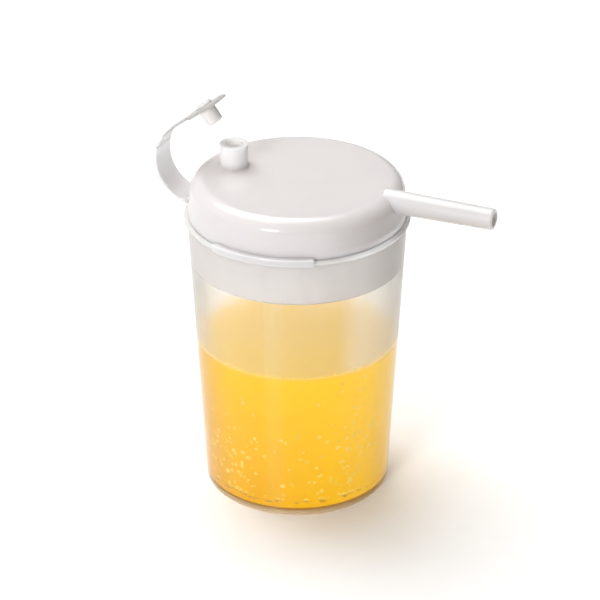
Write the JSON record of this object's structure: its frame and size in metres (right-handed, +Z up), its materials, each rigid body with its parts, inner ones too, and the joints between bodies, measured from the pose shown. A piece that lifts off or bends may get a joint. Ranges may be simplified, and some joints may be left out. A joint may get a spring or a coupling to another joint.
{
  "type": "controlled-flow drinking cup",
  "caption": "Translucent tapered feeding cup with a push-in domed lid, side drinking spout, air-vent tube and strap-held vent stopper.",
  "frame": {"origin": "middle of the tumbler's foot ring, on the plane it stands on", "axes": "+Z up along the cup's axis, +X along the spout, the vent tube and strap on the -X side"},
  "size_m": [0.1187, 0.0759, 0.1372],
  "materials": {
    "frosted_wall": "translucent, lightly frosted",
    "white_plastic": "satin moulded white",
    "soft_strap": "satin moulded white, thin enough to bend"
  },
  "bodies": {
    "tumbler": {"tumbler": "frosted_wall"},
    "lid": {"lid": "white_plastic"},
    "strap": {"strap": "soft_strap"},
    "stopper": {"stopper": "white_plastic"}
  },
  "joints": [
    {"name": "lid_lift", "type": "slide", "parent": "tumbler", "child": "lid", "axis": [0, 0, 1], "range_m": [0, 0.05]},
    {"name": "strap_bend", "type": "hinge", "parent": "lid", "child": "strap", "pos_m": [-0.03467, 0, 0.11438], "axis": [0, 1, 0], "range_deg": [0, 37.5], "stiffness_Nm_per_rad": 0.002, "deforming": ["strap"]},
    {"name": "stopper_press", "type": "slide", "parent": "strap", "child": "stopper", "axis": [0.6088, 0, -0.7934], "range_m": [0, 0.006], "stiffness_N_per_m": 20}
  ]
}
